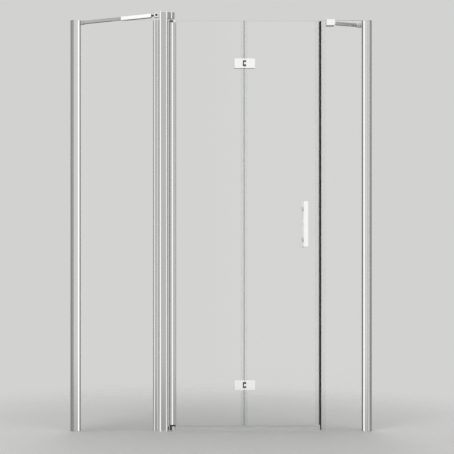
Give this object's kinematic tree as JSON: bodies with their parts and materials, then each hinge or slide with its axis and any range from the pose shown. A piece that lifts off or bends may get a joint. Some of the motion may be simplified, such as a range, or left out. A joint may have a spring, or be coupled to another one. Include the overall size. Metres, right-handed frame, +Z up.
{
  "type": "niche shower door",
  "caption": "Frameless niche shower door with two fixed clear glass panels, a two-leaf folding glass door on a lifting pivot, chrome profiles, bar handle and wall stay bars.",
  "frame": {"origin": "where the door's swing axis meets the tray, in the middle plane of the glass", "axes": "+X right seen from outside, along the glass; +Y into the shower; +Z up"},
  "size_m": [1.466, 0.235, 2.044],
  "materials": {
    "polished_chrome": "polished",
    "bright_aluminium": "bright anodised",
    "clear_glass": "clear, polished edges",
    "translucent_seal": "translucent, matt",
    "gasket_rubber": "matt",
    "magnet_black": "matt",
    "bush_plastic": "moulded, satin",
    "pin_steel": "ground"
  },
  "bodies": {
    "frame": {"left_wall_profile": "bright_aluminium", "right_wall_profile": "bright_aluminium", "left_adjuster_profile": "polished_chrome", "right_adjuster_profile": "polished_chrome", "left_profile_cap": "polished_chrome", "right_profile_cap": "polished_chrome", "left_glass_gasket": "gasket_rubber", "right_glass_gasket": "gasket_rubber", "left_fixed_glass": "clear_glass", "right_fixed_glass": "clear_glass", "glass_edge_profile": "polished_chrome", "glass_edge_gasket": "gasket_rubber", "hinge_post": "polished_chrome", "post_top_cap": "polished_chrome", "post_foot": "polished_chrome", "pivot_top_block": "polished_chrome", "pivot_top_pin": "pin_steel", "pivot_bottom_block": "polished_chrome", "lift_cam_lower": "bush_plastic", "fixed_magnet_seal": "translucent_seal", "fixed_magnet": "magnet_black", "left_bar": "polished_chrome", "left_bar_sleeve": "polished_chrome", "left_bar_post_swivel": "polished_chrome", "left_bar_wall_swivel": "polished_chrome", "left_bar_wall_flange": "polished_chrome", "right_bar": "polished_chrome", "right_bar_glass_clamp": "polished_chrome", "right_bar_glass_swivel": "polished_chrome", "right_bar_wall_swivel": "polished_chrome", "right_bar_wall_flange": "polished_chrome"},
    "lift_pin": {"pivot_bottom_pin": "pin_steel"},
    "hinge_leaf": {"pivot_profile": "polished_chrome", "pivot_profile_gasket": "gasket_rubber", "pivot_profile_cap": "polished_chrome", "hinge_leaf_glass": "clear_glass", "lift_cam_upper": "bush_plastic", "pivot_top_bush": "bush_plastic", "hinge_leaf_bottom_seal": "translucent_seal", "hinge_leaf_edge_seal": "translucent_seal", "lower_hinge_outer_plate_a": "polished_chrome", "upper_hinge_outer_plate_a": "polished_chrome", "lower_hinge_inner_plate_a": "polished_chrome", "upper_hinge_inner_plate_a": "polished_chrome", "lower_hinge_pin": "pin_steel", "upper_hinge_pin": "pin_steel"},
    "lead_leaf": {"lead_leaf_glass": "clear_glass", "lead_leaf_bottom_seal": "translucent_seal", "lead_leaf_edge_seal": "translucent_seal", "lower_hinge_outer_plate_b": "polished_chrome", "upper_hinge_outer_plate_b": "polished_chrome", "lower_hinge_inner_plate_b": "polished_chrome", "upper_hinge_inner_plate_b": "polished_chrome", "lead_magnet_seal": "translucent_seal", "lead_magnet": "magnet_black", "handle_outer": "polished_chrome", "handle_inner": "polished_chrome", "handle_lower_bush": "translucent_seal", "handle_upper_bush": "translucent_seal"}
  },
  "joints": [
    {"name": "door_lift", "type": "slide", "parent": "frame", "child": "lift_pin", "axis": [0, 0, 1], "range_m": [0, 0.0051]},
    {"name": "door_swing", "type": "hinge", "parent": "lift_pin", "child": "hinge_leaf", "pos_m": [0, 0, 0], "axis": [0, 0, 1], "range_deg": [0, 90]},
    {"name": "leaf_fold", "type": "hinge", "parent": "hinge_leaf", "child": "lead_leaf", "pos_m": [0.3569, -0.0105, 0], "axis": [0, 0, -1], "range_deg": [0, 170]}
  ],
  "couplings": [
    {"joint": "door_lift", "follows": "door_swing", "m_per_rad": 0.0031831}
  ]
}
